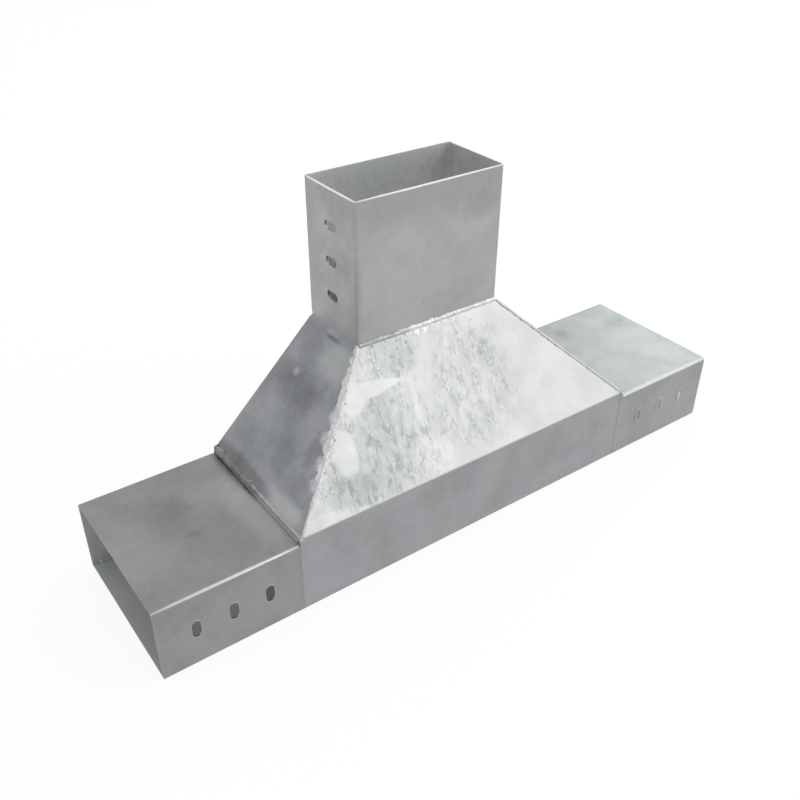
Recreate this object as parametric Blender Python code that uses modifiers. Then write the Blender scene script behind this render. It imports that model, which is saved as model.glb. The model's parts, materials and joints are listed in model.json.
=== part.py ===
# Vertical tee for a sheet-steel cable tray. A level run, open at both ends, carries a hood that
# closes in to a riser, open at the top. It is folded and welded from one gauge of sheet.
# Lengths are in metres and +Z is up. The run lies along X with its front towards -Y, and the
# origin is the middle of its underside.

import math

import bmesh
import bpy
from mathutils import Matrix, Vector

# Sheet and clearances
SHEET = 0.002
GAP = 0.0003

# Run
RUN_WIDTH = 0.204
STUB_LENGTH = 0.170
STUB_HEIGHT = 0.094
MIDDLE_LENGTH = 0.490
LIP_HEIGHT = 0.006

# Hood and riser
HOOD_RISE = 0.1375
RISER_WIDTH = 0.204
RISER_DEPTH = 0.100
RISER_LENGTH = 0.170

# Folds: the radius on the face that shows outside
STUB_BEND = 0.005
RISER_BEND = 0.004
SKIRT_BEND = 0.003
HOLLOW_BEND = 0.002
BEND_STEPS = 4
BEND_RELIEF = 0.0005
NOTCH_DEPTH = 0.004
FLARE_DROP = 0.003

# Bolt slots, counted from each open end
SLOT_WIDTH = 0.011
SLOT_LENGTH = 0.022
SLOT_FROM_END = 0.0425
SLOT_PITCH = 0.0425
SLOT_TO_JOINT = 0.020
SLOT_ARC_STEPS = 10
CUTTER_OVERLAP = 0.010

# Weld metal
ROOT_OPENING = 0.0003
HIP_REACH = 0.0014
HIP_CROWN = 0.0010
SEAM_CROWN = 0.0003
VALLEY_LEG = 0.0035
VALLEY_CROWN = 0.0016
VALLEY_SETBACK = 0.0015
FOOT_GROOVE = 0.0009
FOOT_LEG = 0.0028
FOOT_CROWN = 0.0012
BASE_LEG = 0.0030
BASE_CROWN = 0.0016
BEAD_SETBACK = 0.002
BASE_SETBACK = 0.010
FILL_DROP = 0.0015
CAP_STEPS = 6

# Places worked out from the sizes
HALF_WIDTH = RUN_WIDTH / 2
HALF_MIDDLE = MIDDLE_LENGTH / 2
HALF_RUN = HALF_MIDDLE + STUB_LENGTH
HALF_RISER = RISER_WIDTH / 2
SKIRT_TOP = STUB_HEIGHT + LIP_HEIGHT
RISER_FOOT = SKIRT_TOP + HOOD_RISE
RISER_TOP = RISER_FOOT + RISER_LENGTH
RISER_FRONT = HALF_WIDTH - RISER_DEPTH
STUB_INNER_END = HALF_MIDDLE + SHEET
LIP_END = HALF_WIDTH - STUB_BEND - 2 * BEND_RELIEF

# Outer planes of the hood, and the line where its front and its left end would meet
FRONT_RUN = RISER_FRONT + HALF_WIDTH
END_RUN = HALF_MIDDLE - HALF_RISER
FRONT_NORMAL = Vector((0, -HOOD_RISE, FRONT_RUN)).normalized()
LEFT_NORMAL = Vector((-HOOD_RISE, 0, END_RUN)).normalized()
HIP_FOOT = Vector((-HALF_MIDDLE, -HALF_WIDTH, SKIRT_TOP))
HIP_HEAD = Vector((-HALF_RISER, RISER_FRONT, RISER_FOOT))
HIP = HIP_HEAD - HIP_FOOT
HIP_HALF_ANGLE = FRONT_NORMAL.angle(LEFT_NORMAL) / 2
RIGHT_CORNER_HALF_ANGLE = math.radians(45)


def setback(half_angle):
    # How far an outer edge stays back from the corner line, so that two square-cut sheets
    # meet only along their inner edges
    return SHEET * math.tan(half_angle) + ROOT_OPENING / 2 / math.cos(half_angle)


def hip_at(height):
    return HIP_FOOT + HIP * ((height - SKIRT_TOP) / HOOD_RISE)


FRONT_SLOPE_LENGTH = math.hypot(FRONT_RUN, HOOD_RISE)
END_SLOPE_LENGTH = math.hypot(END_RUN, HOOD_RISE)
FRONT_EDGE_SHIFT = setback(HIP_HALF_ANGLE) * HIP.length / FRONT_SLOPE_LENGTH
END_EDGE_SHIFT = setback(HIP_HALF_ANGLE) * HIP.length / END_SLOPE_LENGTH
CORNER_SETBACK = setback(RIGHT_CORNER_HALF_ANGLE)
PANEL_EDGE = HALF_MIDDLE - FRONT_EDGE_SHIFT
BACK_EDGE = HALF_WIDTH - CORNER_SETBACK


def new_collection(name):
    collection = bpy.data.collections.new(name)
    bpy.context.scene.collection.children.link(collection)
    return collection


def make_material(name, colour, roughness):
    material = bpy.data.materials.new(name)
    material.use_nodes = True
    shader = material.node_tree.nodes["Principled BSDF"]
    shader.inputs["Base Color"].default_value = (*colour, 1)
    shader.inputs["Roughness"].default_value = roughness
    shader.inputs["Metallic"].default_value = 1.0
    return material


def add_object(name, mesh, collection):
    part = bpy.data.objects.new(name, mesh)
    collection.objects.link(part)
    return part


def finish(part, colour, roughness):
    part.data.materials.append(make_material(part.name, colour, roughness))
    part.data.shade_smooth()
    part.data.set_sharp_from_angle(angle=math.radians(30))


# Sheets: a first panel, further panels extruded from its edges, folds rounded by a bevel,
# and the thickness added inwards

def first_panel(corners):
    # The corners run anticlockwise as seen from outside
    surface = bmesh.new()
    bmesh.ops.create_grid(surface, x_segments=1, y_segments=1, size=0.5)
    surface.faces.ensure_lookup_table()
    for vertex, corner in zip(surface.faces[0].verts, corners):
        vertex.co = corner
    return surface


def edge_between(surface, start, end):
    def distance(edge):
        a, b = (vertex.co for vertex in edge.verts)
        straight = (a - start).length + (b - end).length
        swapped = (a - end).length + (b - start).length
        return min(straight, swapped)

    return min(surface.edges, key=distance)


def next_panel(surface, near, far):
    # Extrudes the edge between the near points and moves the copies to the far points
    edge = edge_between(surface, *near)
    made = bmesh.ops.extrude_edge_only(surface, edges=[edge])
    for vertex in (item for item in made["geom"] if isinstance(item, bmesh.types.BMVert)):
        nearest = min(range(2), key=lambda index: (vertex.co - near[index]).length)
        vertex.co = far[nearest]


def round_fold(surface, start, end, radius):
    edge = edge_between(surface, start, end)
    turn = edge.calc_face_angle()
    bmesh.ops.bevel(
        surface,
        geom=[edge],
        offset=radius * math.tan(turn / 2),
        offset_type="OFFSET",
        segments=BEND_STEPS,
        profile=0.5,
        affect="EDGES",
        clamp_overlap=False,
    )


def thicken(name, surface, collection):
    mesh = bpy.data.meshes.new(name)
    surface.to_mesh(mesh)
    surface.free()
    part = add_object(name, mesh, collection)
    solid = part.modifiers.new("Sheet thickness", "SOLIDIFY")
    solid.solidify_mode = "NON_MANIFOLD"
    solid.nonmanifold_thickness_mode = "CONSTRAINTS"
    solid.thickness = SHEET
    solid.offset = -1
    return part


def solid_from_outline(name, outline, depth, collection):
    # A closed outline in the local XY plane, extruded by half the depth to both sides
    curve = bpy.data.curves.new(name, "CURVE")
    curve.dimensions = "2D"
    curve.fill_mode = "BOTH"
    curve.extrude = depth / 2
    spline = curve.splines.new("POLY")
    spline.points.add(len(outline) - 1)
    for point, (x, y) in zip(spline.points, outline):
        point.co = (x, y, 0, 1)
    spline.use_cyclic_u = True
    shape = add_object(name, curve, collection)
    evaluated = shape.evaluated_get(bpy.context.evaluated_depsgraph_get())
    mesh = bpy.data.meshes.new_from_object(evaluated)
    bpy.data.objects.remove(shape)
    bpy.data.curves.remove(curve)
    welded = bmesh.new()
    welded.from_mesh(mesh)
    bmesh.ops.remove_doubles(welded, verts=welded.verts, dist=0.00001)
    welded.to_mesh(mesh)
    welded.free()
    mesh.name = name
    return add_object(name, mesh, collection)


# Bolt slots

def slot_outline():
    radius = SLOT_WIDTH / 2
    straight = (SLOT_LENGTH - SLOT_WIDTH) / 2
    outline = []
    for middle, start in ((straight, 0), (-straight, math.pi)):
        for step in range(SLOT_ARC_STEPS + 1):
            angle = start + math.pi * step / SLOT_ARC_STEPS
            outline.append((radius * math.cos(angle), middle + radius * math.sin(angle)))
    return outline


def slot_distances(length):
    # Distances from the open end, as many as the wall has room for
    room = length - SLOT_FROM_END - SLOT_TO_JOINT
    count = int(room / SLOT_PITCH) + 1
    return [SLOT_FROM_END + SLOT_PITCH * index for index in range(count)]


def cut_slot(part, position, along, through, depth, cutters):
    # The slot's long axis follows along, and the cutter runs right through both side walls
    cutter = solid_from_outline(part.name + "_slot", slot_outline(), depth, cutters)
    across = along.cross(through)
    turn = Matrix((across, along, through)).transposed().to_4x4()
    cutter.matrix_world = Matrix.Translation(position) @ turn
    cutter.hide_render = True
    cutter.display_type = "WIRE"
    cut = part.modifiers.new("Bolt slot", "BOOLEAN")
    cut.operation = "DIFFERENCE"
    cut.object = cutter


# The six sheets

def make_stub(name, side, parts, cutters):
    # Lines along the run, from the front wall's foot over the top to the back wall's foot.
    # Those of the lip stop at the notches and are carried on to the lip's fold.
    outer = side * HALF_RUN
    inner = side * STUB_INNER_END
    notch = side * (STUB_INNER_END + NOTCH_DEPTH)
    half = [
        (-HALF_WIDTH, 0, inner),
        (-HALF_WIDTH, STUB_HEIGHT, inner),
        (-LIP_END - BEND_RELIEF, STUB_HEIGHT, inner),
        (-LIP_END, STUB_HEIGHT, notch),
    ]
    lines = half + [(-y, z, x) for y, z, x in reversed(half)]
    edges = [(Vector((outer, y, z)), Vector((x, y, z))) for y, z, x in lines]
    corners = [edges[0][0], edges[0][1], edges[1][1], edges[1][0]]
    if side > 0:
        corners.reverse()
    stub = first_panel(corners)
    for near, far in zip(edges[1:], edges[2:]):
        next_panel(stub, near, far)
    neck = (edges[3][1], edges[4][1])
    fold = tuple(Vector((inner, point.y, point.z)) for point in neck)
    top = tuple(point + Vector((0, 0, LIP_HEIGHT)) for point in fold)
    next_panel(stub, neck, fold)
    next_panel(stub, fold, top)
    round_fold(stub, *fold, HOLLOW_BEND)
    round_fold(stub, *edges[1], STUB_BEND)
    round_fold(stub, *edges[6], STUB_BEND)
    part = thicken(name, stub, parts)
    for distance in slot_distances(STUB_LENGTH):
        position = Vector((side * (HALF_RUN - distance), 0, STUB_HEIGHT / 2))
        depth = RUN_WIDTH + 2 * CUTTER_OVERLAP
        cut_slot(part, position, Vector((0, 0, 1)), Vector((0, 1, 0)), depth, cutters)
    finish(part, (0.32, 0.32, 0.33), 0.45)


def make_front_panel(name, parts):
    # The upright skirt, and the sloping front above it up to the riser
    head = RISER_FOOT - GAP * HOOD_RISE / FRONT_SLOPE_LENGTH
    top_y = RISER_FRONT - GAP * FRONT_RUN / FRONT_SLOPE_LENGTH
    top_x = -(hip_at(head).x + FRONT_EDGE_SHIFT)
    bottom = (Vector((-PANEL_EDGE, -HALF_WIDTH, 0)), Vector((PANEL_EDGE, -HALF_WIDTH, 0)))
    fold = tuple(point + Vector((0, 0, SKIRT_TOP)) for point in bottom)
    top = (Vector((-top_x, top_y, head)), Vector((top_x, top_y, head)))
    panel = first_panel([bottom[0], bottom[1], fold[1], fold[0]])
    next_panel(panel, fold, top)
    round_fold(panel, *fold, SKIRT_BEND)
    part = thicken(name, panel, parts)
    finish(part, (0.42, 0.43, 0.44), 0.4)


def make_riser_sheet(name, parts, cutters):
    # Upright lines from the left wall's back edge round to the right wall's. Those of the
    # sloping ends stop at the notches and are carried on to the fold.
    shoulder = RISER_FRONT + RISER_BEND + BEND_RELIEF
    notch = RISER_FOOT + NOTCH_DEPTH
    half = [
        (-HALF_RISER, BACK_EDGE, notch),
        (-HALF_RISER, shoulder + BEND_RELIEF, notch),
        (-HALF_RISER, shoulder, RISER_FOOT),
        (-HALF_RISER, RISER_FRONT, RISER_FOOT),
    ]
    lines = half + [(-x, y, z) for x, y, z in reversed(half)]
    edges = [(Vector((x, y, z)), Vector((x, y, RISER_TOP))) for x, y, z in lines]
    riser = first_panel([edges[0][0], edges[1][0], edges[1][1], edges[0][1]])
    for near, far in zip(edges[1:], edges[2:]):
        next_panel(riser, near, far)
    foot = SKIRT_TOP + FOOT_GROOVE * HOOD_RISE / END_RUN
    for side, front, back in ((-1, 1, 0), (1, 6, 7)):
        line = (edges[front][0], edges[back][0])
        fold = tuple(Vector((point.x, point.y, RISER_FOOT)) for point in line)
        next_panel(riser, line, fold)
        line = fold
        for height in (RISER_FOOT - FLARE_DROP, foot):
            hip = hip_at(height)
            x = side * -hip.x
            below = (Vector((x, hip.y + END_EDGE_SHIFT, height)), Vector((x, BACK_EDGE, height)))
            next_panel(riser, line, below)
            line = below
        round_fold(riser, *fold, HOLLOW_BEND)
    round_fold(riser, *edges[3], RISER_BEND)
    round_fold(riser, *edges[4], RISER_BEND)
    part = thicken(name, riser, parts)
    middle = (RISER_FRONT + HALF_WIDTH) / 2
    for distance in slot_distances(RISER_LENGTH):
        position = Vector((0, middle, RISER_TOP - distance))
        depth = RISER_WIDTH + 2 * CUTTER_OVERLAP
        cut_slot(part, position, Vector((0, 1, 0)), Vector((1, 0, 0)), depth, cutters)
    finish(part, (0.38, 0.39, 0.4), 0.4)


def make_back_plate(name, parts):
    # Inside the hood's ends and the riser's sides by their own thickness, so that each corner
    # is an open square for the weld
    slope_shift = CORNER_SETBACK * END_SLOPE_LENGTH / HOOD_RISE
    half_hood = HALF_MIDDLE - slope_shift
    half_riser = HALF_RISER - CORNER_SETBACK
    drop = (half_hood - PANEL_EDGE) * HOOD_RISE / END_RUN
    bend = SKIRT_TOP + drop
    knee = SKIRT_TOP + (half_hood - half_riser) * HOOD_RISE / END_RUN
    half = [(PANEL_EDGE, 0), (PANEL_EDGE, bend), (half_riser, knee), (half_riser, RISER_TOP)]
    outline = half + [(-x, z) for x, z in reversed(half)]
    part = solid_from_outline(name, outline, SHEET, parts)
    upright = Matrix.Rotation(math.radians(90), 4, "X")
    part.matrix_world = Matrix.Translation((0, HALF_WIDTH - SHEET / 2, 0)) @ upright
    finish(part, (0.36, 0.36, 0.37), 0.45)


def make_bottom_plate(name, parts):
    mesh = bpy.data.meshes.new(name)
    plate = bmesh.new()
    size = Vector((2 * HALF_RUN, 2 * (HALF_WIDTH - SHEET - GAP), SHEET))
    bmesh.ops.create_cube(plate, size=1, matrix=Matrix.Diagonal(size).to_4x4())
    plate.to_mesh(mesh)
    plate.free()
    part = add_object(name, mesh, parts)
    part.location = (0, 0, SHEET / 2)
    finish(part, (0.3, 0.3, 0.3), 0.5)


# Weld metal. Outlines are drawn across the joint, u to its side and v outwards.

def cap_arc(edge_u, edge_v, crown_v):
    # From the right edge over the crown to the left edge, as part of a circle
    rise = crown_v - edge_v
    radius = (edge_u ** 2 + rise ** 2) / (2 * rise)
    middle = crown_v - radius
    start = math.atan2(edge_v - middle, edge_u)
    points = []
    for step in range(CAP_STEPS + 1):
        angle = start + (math.pi - 2 * start) * step / CAP_STEPS
        points.append((radius * math.cos(angle), middle + radius * math.sin(angle)))
    return points


def mirrored(right_half, cap):
    return right_half + cap + [(-u, v) for u, v in reversed(right_half)]


def groove_outline(half_angle, half_opening, reach, crown):
    # A root between two square-cut edges and a cap over their outer faces. v is 0 where the
    # inner faces end, and half_opening is half the distance between them there.
    sine, cosine = math.sin(half_angle), math.cos(half_angle)
    mouth_u = half_opening + SHEET * sine
    mouth_v = SHEET * cosine
    root_u = half_opening - GAP / cosine
    root = (root_u, 0)
    if root_u < 0:
        root = (GAP / 10, (GAP / cosine + GAP / 10 - half_opening) * cosine / sine)
    neck = (mouth_u + GAP * (sine - cosine), mouth_v + GAP * (sine + cosine))
    brim = (mouth_u + GAP * sine + reach * cosine, mouth_v + GAP * cosine - reach * sine)
    peak = mouth_v + mouth_u * math.tan(half_angle) + crown
    return mirrored([root, neck], cap_arc(*brim, peak))


def flush_corner_outline(half_angle, half_opening):
    # A corner ground flush: a root as above, and a round face that runs into both outer faces
    sine, cosine = math.sin(half_angle), math.cos(half_angle)
    root = (GAP / 10, (GAP / cosine + GAP / 10 - half_opening) * cosine / sine)
    edge_u = half_opening + SHEET * sine - GAP * cosine
    edge_v = SHEET * cosine + GAP * sine
    radius = edge_u / sine
    return mirrored([root], cap_arc(edge_u, edge_v, edge_v + radius * (1 - cosine)))


def flush_seam_outline(half_opening, crown):
    # A butt seam ground almost flush
    side = half_opening - GAP
    return mirrored([(side, 0)], cap_arc(side, SHEET, SHEET + crown))


def valley_outline(rise_angle, leg, crown):
    # A bead laid in a hollow corner whose two faces rise away from it by rise_angle
    sine, cosine = math.sin(rise_angle), math.cos(rise_angle)
    bottom = (GAP / 10, (GAP + GAP / 10 * sine) / cosine)
    tip = (leg * cosine - GAP * sine, leg * sine + GAP * cosine)
    return mirrored([bottom], cap_arc(*tip, max(tip[1], bottom[1]) + crown))


def make_bead(name, outline, start, end, outward, parts):
    # Lays the outline along the joint: its u across, its v along outward
    joint = end - start
    along = joint.normalized()
    across = outward.cross(along).normalized()
    part = solid_from_outline(name, outline, joint.length, parts)
    turn = Matrix((across, outward.normalized(), along)).transposed().to_4x4()
    part.matrix_world = Matrix.Translation((start + end) / 2) @ turn
    finish(part, (0.5, 0.51, 0.52), 0.35)
    return part


def mirror_x(vector):
    return Vector((-vector.x, vector.y, vector.z))


def make_bead_pair(joint_name, outline, start, end, outward, parts):
    # The given joint is the left one
    left = make_bead("left_" + joint_name, outline, start, end, outward, parts)
    ends = (mirror_x(start), mirror_x(end))
    right = make_bead("right_" + joint_name, outline, *ends, mirror_x(outward), parts)
    return left, right


def fill_corner(bead, x, outward, width, bottom, guides):
    # Weld metal that closes the step above a seam, between the lip's end and the outer face
    top = SKIRT_TOP - FILL_DROP
    depth = HALF_WIDTH - LIP_END - GAP
    size = Vector((width, depth, top - bottom))
    mesh = bpy.data.meshes.new(bead.name + "_fill")
    block = bmesh.new()
    bmesh.ops.create_cube(block, size=1, matrix=Matrix.Diagonal(size).to_4x4())
    block.to_mesh(mesh)
    block.free()
    guide = add_object(mesh.name, mesh, guides)
    guide.location = (x, outward.y * (HALF_WIDTH - depth / 2), (top + bottom) / 2)
    guide.hide_render = True
    guide.display_type = "WIRE"
    join = bead.modifiers.new("Corner fill", "BOOLEAN")
    join.operation = "UNION"
    join.object = guide


def corner_root(half_angle, half_opening):
    # Depth of the groove's inner end below the line where the outer faces would meet
    mouth_u = half_opening + SHEET * math.sin(half_angle)
    return SHEET * math.cos(half_angle) + mouth_u * math.tan(half_angle)


def make_welds(parts, guides):
    half_root = ROOT_OPENING / 2
    up = Vector((0, 0, 1))
    back = Vector((0, 1, 0))
    left = Vector((-1, 0, 0))

    # Hips, between the sloping front and the sloping ends
    bisector = (FRONT_NORMAL + LEFT_NORMAL).normalized()
    sunk = bisector * corner_root(HIP_HALF_ANGLE, half_root)
    ends = [hip_at(z) - sunk for z in (SKIRT_TOP + BEAD_SETBACK, RISER_FOOT - BEAD_SETBACK)]
    outline = groove_outline(HIP_HALF_ANGLE, half_root, HIP_REACH, HIP_CROWN)
    make_bead_pair("hip_weld", outline, *ends, bisector, parts)

    # Valley under the riser's front
    bisector = (FRONT_NORMAL - back).normalized()
    rise = FRONT_NORMAL.angle(-back) / 2
    reach = HALF_RISER - VALLEY_SETBACK
    ends = [Vector((x, RISER_FRONT, RISER_FOOT)) for x in (-reach, reach)]
    outline = valley_outline(rise, VALLEY_LEG, VALLEY_CROWN)
    make_bead("riser_front_weld", outline, *ends, bisector, parts)

    # Back half of the joint between a sloping end and the lip
    bisector = (LEFT_NORMAL + up).normalized()
    rise = LEFT_NORMAL.angle(up) / 2
    ends = [Vector((-HALF_MIDDLE, y, SKIRT_TOP)) for y in (0, BACK_EDGE - BEAD_SETBACK)]
    outline = valley_outline(rise, FOOT_LEG, FOOT_CROWN)
    make_bead_pair("foot_weld", outline, *ends, bisector, parts)

    # Upright butt seams, front and back
    half_seam = (STUB_INNER_END - PANEL_EDGE) / 2
    x = -(STUB_INNER_END + PANEL_EDGE) / 2
    top = STUB_HEIGHT - STUB_BEND
    outline = flush_seam_outline(half_seam, SEAM_CROWN)
    for joint_name, outward in (("front_seam_weld", -back), ("back_seam_weld", back)):
        inner = outward * (HALF_WIDTH - SHEET) + Vector((x, 0, 0))
        pair = make_bead_pair(joint_name, outline, inner, inner + up * top, outward, parts)
        width = 2 * (half_seam - GAP)
        for bead, bead_x in zip(pair, (x, -x)):
            fill_corner(bead, bead_x, outward, width, top - SHEET, guides)

    # Square corners at the back, along the hood and up the riser
    depth = corner_root(RIGHT_CORNER_HALF_ANGLE, half_root)
    outline = flush_corner_outline(RIGHT_CORNER_HALF_ANGLE, half_root)
    for joint_name, normal, low, high in (
        ("hood_back_weld", LEFT_NORMAL, SKIRT_TOP, RISER_FOOT),
        ("riser_back_weld", left, RISER_FOOT, RISER_TOP + BEAD_SETBACK),
    ):
        bisector = (normal + back).normalized()
        ends = []
        for z in (low + BEAD_SETBACK, high - BEAD_SETBACK):
            x = hip_at(min(z, RISER_FOOT)).x
            ends.append(Vector((x, HALF_WIDTH, z)) - bisector * depth)
        make_bead_pair(joint_name, outline, *ends, bisector, parts)

    # Bottom plate to the side walls, inside
    outline = valley_outline(RIGHT_CORNER_HALF_ANGLE, BASE_LEG, BASE_CROWN)
    for name, inward in (("base_front_weld", back), ("base_back_weld", -back)):
        reach = Vector((HALF_RUN - BASE_SETBACK, 0, 0))
        corner = -inward * (HALF_WIDTH - SHEET) + up * SHEET
        make_bead(name, outline, corner - reach, corner + reach, inward + up, parts)


def main():
    for item in list(bpy.data.objects):
        bpy.data.objects.remove(item)
    parts = new_collection("Cable tray vertical tee")
    cutters = new_collection("Cutters")
    make_stub("left_stub", -1, parts, cutters)
    make_stub("right_stub", 1, parts, cutters)
    make_front_panel("front_panel", parts)
    make_riser_sheet("riser_sheet", parts, cutters)
    make_back_plate("back_plate", parts)
    make_bottom_plate("bottom_plate", parts)
    make_welds(parts, cutters)


main()
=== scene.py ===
import json
import math
import random

import bpy
from mathutils import Matrix, Quaternion, Vector

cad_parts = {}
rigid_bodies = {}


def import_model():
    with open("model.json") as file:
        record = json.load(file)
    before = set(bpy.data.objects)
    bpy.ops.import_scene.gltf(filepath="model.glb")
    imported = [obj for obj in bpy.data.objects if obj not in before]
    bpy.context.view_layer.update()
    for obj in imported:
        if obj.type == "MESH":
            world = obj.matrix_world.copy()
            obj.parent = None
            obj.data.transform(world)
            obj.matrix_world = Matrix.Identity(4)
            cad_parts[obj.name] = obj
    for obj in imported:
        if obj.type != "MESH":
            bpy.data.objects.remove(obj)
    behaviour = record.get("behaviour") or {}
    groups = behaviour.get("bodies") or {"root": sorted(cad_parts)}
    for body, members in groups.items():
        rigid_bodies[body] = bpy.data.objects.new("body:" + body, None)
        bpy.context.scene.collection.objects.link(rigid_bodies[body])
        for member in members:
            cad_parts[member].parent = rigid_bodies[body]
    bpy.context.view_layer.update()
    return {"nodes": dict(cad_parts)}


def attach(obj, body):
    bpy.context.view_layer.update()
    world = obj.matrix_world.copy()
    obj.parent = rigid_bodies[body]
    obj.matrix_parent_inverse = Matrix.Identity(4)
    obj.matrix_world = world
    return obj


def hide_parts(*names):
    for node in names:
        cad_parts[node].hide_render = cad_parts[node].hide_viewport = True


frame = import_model()
print("frame loaded")


# ---- small helpers ----

backward = Vector((0, 1, 0))
upward = Vector((0, 0, 1))
rightward = Vector((1, 0, 0))
touching = 0.00001  # m, places closer than this are the same


def mm(*values):
    return Vector([value / 1000 for value in values])


def toLinear(hexColour):
    # The sRGB curve, undone
    channels = [int(hexColour[i:i + 2], 16) / 255 for i in (0, 2, 4)]
    return [c / 12.92 if c <= 0.04045 else ((c + 0.055) / 1.055) ** 2.4 for c in channels] + [1]


def addNode(tree, kind, settings=None, links=None):
    # Settings go to an input by its name or number, or else to the node itself
    node = tree.nodes.new(kind)
    for key, value in (settings or {}).items():
        if isinstance(key, int) or key in node.inputs:
            node.inputs[key].default_value = value
        else:
            setattr(node, key, value)
    for key, source in (links or {}).items():
        tree.links.new(source, node.inputs[key])
    return node


def useOnly(piece):
    bpy.ops.object.select_all(action="DESELECT")
    piece.select_set(True)
    bpy.context.view_layer.objects.active = piece


def applyModifiers(piece):
    useOnly(piece)
    for modifier in list(piece.modifiers):
        bpy.ops.object.modifier_apply(modifier=modifier.name)


def joinInto(piece, others):
    useOnly(piece)
    for other in others:
        other.select_set(True)
    bpy.ops.object.join()
    return piece


def copyOfNode(nodeName, pieceName):
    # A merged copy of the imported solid, ready to be shaped further
    useOnly(frame["nodes"][nodeName])
    bpy.ops.object.duplicate()
    piece = bpy.context.view_layer.objects.active
    piece.name = pieceName
    piece.data.name = pieceName
    for key in list(piece.keys()):
        if key.startswith("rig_"):
            del piece[key]
    piece.data.materials.clear()
    bpy.ops.mesh.customdata_custom_splitnormals_clear()
    bpy.ops.object.mode_set(mode="EDIT")
    bpy.ops.mesh.select_all(action="SELECT")
    bpy.ops.mesh.remove_doubles(threshold=touching)
    bpy.ops.mesh.normals_make_consistent(inside=False)
    bpy.ops.object.mode_set(mode="OBJECT")
    return piece


def keepPiece(piece, nodeName):
    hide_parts(nodeName)
    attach(piece, "root")


# ---- camera, light and floor ----

cameraSetup = {
    # Fitted to the outlines in the photo: place in m, angles in degrees
    "place": (-0.5801, -0.7337, 0.7492),
    "azimuth": 36.14,
    "elevation": 33.65,
    "roll": 0.36,
    "focalPixels": 901.2,
    "imagePixels": 800,
    "sensorMm": 36,
    "nearest": 0.02,
    "farthest": 60,
}


def makeCamera(setup):
    azimuth, elevation = math.radians(setup["azimuth"]), math.radians(setup["elevation"])
    flat = math.cos(elevation)
    ahead = Vector((math.sin(azimuth) * flat, math.cos(azimuth) * flat, -math.sin(elevation)))
    bpy.ops.object.camera_add(location=setup["place"])
    camera = bpy.context.object
    camera.name = "photo_camera"
    camera.rotation_mode = "QUATERNION"
    roll = Quaternion((0, 0, 1), math.radians(setup["roll"]))
    camera.rotation_quaternion = ahead.to_track_quat("-Z", "Y") @ roll
    camera.data.sensor_width = setup["sensorMm"]
    camera.data.lens = setup["focalPixels"] / setup["imagePixels"] * setup["sensorMm"]
    camera.data.clip_start = setup["nearest"]
    camera.data.clip_end = setup["farthest"]
    bpy.context.scene.camera = camera


floorSetup = {
    # Matt paint: no gloss, so that the eye sees only the object's shadow on it
    "colour": "f6f6f6",
    "roughness": 0.9,
    "specular": 0.1,
    "radius": 30,
    "sides": 64,
    "height": -0.0002,
    "backdropShare": 0.9,  # how much of the floor is plain white to the camera, the rest is lit paint
}

lightSetup = {
    # One long soft source beside the object, and a pale room all round. In m and W
    "place": (2.75, -0.75, 1.65),
    "target": (0, 0, 0.15),
    "width": 8.0,
    "height": 3.0,
    "power": 116,
    "room": "f2f2f2",
}


def seenOrReflected(tree):
    # 1 for the rays that show a thing to the camera, directly or in metal, and 0 for those that light it
    path = addNode(tree, "ShaderNodeLightPath")
    seen = addNode(tree, "ShaderNodeMath", {"operation": "MAXIMUM"},
                   {0: path.outputs["Is Camera Ray"], 1: path.outputs["Is Glossy Ray"]})
    return addNode(tree, "ShaderNodeMath", {"operation": "MAXIMUM"},
                   {0: seen.outputs["Value"], 1: path.outputs["Is Transmission Ray"]}).outputs["Value"]


def makeFloor(setup):
    bpy.ops.mesh.primitive_circle_add(vertices=setup["sides"], radius=setup["radius"], fill_type="NGON")
    floor = bpy.context.object
    floor.name = "studio_floor"
    floor.location.z = setup["height"]
    material = bpy.data.materials.new("matt white floor paint")
    material.use_nodes = True
    tree = material.node_tree
    shader = tree.nodes["Principled BSDF"]
    shader.inputs["Base Color"].default_value = toLinear(setup["colour"])
    shader.inputs["Roughness"].default_value = setup["roughness"]
    shader.inputs["Specular IOR Level"].default_value = setup["specular"]
    # Plain white for the camera and for reflections, and it keeps the object's shadow
    share = addNode(tree, "ShaderNodeMath", {"operation": "MULTIPLY", 1: setup["backdropShare"]},
                    {0: seenOrReflected(tree)})
    white = addNode(tree, "ShaderNodeEmission", {"Color": (1, 1, 1, 1), "Strength": 1})
    mixed = addNode(tree, "ShaderNodeMixShader", {}, {0: share.outputs["Value"],
                    1: shader.outputs["BSDF"], 2: white.outputs["Emission"]})
    tree.links.new(mixed.outputs["Shader"], tree.nodes["Material Output"].inputs["Surface"])
    floor.data.materials.append(material)


def makeLight(setup):
    bpy.ops.object.light_add(type="AREA", location=setup["place"])
    lamp = bpy.context.object
    lamp.name = "long_soft_light"
    backwards = Vector(setup["place"]) - Vector(setup["target"])
    lamp.rotation_euler = backwards.to_track_quat("Z", "Y").to_euler()
    lamp.data.shape = "RECTANGLE"
    lamp.data.size = setup["width"]
    lamp.data.size_y = setup["height"]
    lamp.data.energy = setup["power"]
    lamp.visible_camera = False
    world = bpy.data.worlds.new("pale room")
    world.use_nodes = True
    tree = world.node_tree
    # White where the camera or the metal sees it, the room's own tone where it lights things
    shown = addNode(tree, "ShaderNodeMix", {"data_type": "RGBA", 6: toLinear(setup["room"]), 7: (1, 1, 1, 1)},
                    {0: seenOrReflected(tree)}).outputs[2]
    tree.links.new(shown, tree.nodes["Background"].inputs["Color"])
    tree.nodes["Background"].inputs["Strength"].default_value = 1
    bpy.context.scene.world = world


makeCamera(cameraSetup)
makeFloor(floorSetup)
makeLight(lightSetup)
bpy.context.scene.view_settings.view_transform = "Standard"
print("camera, floor and light ready")


# ---- materials ----

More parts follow.
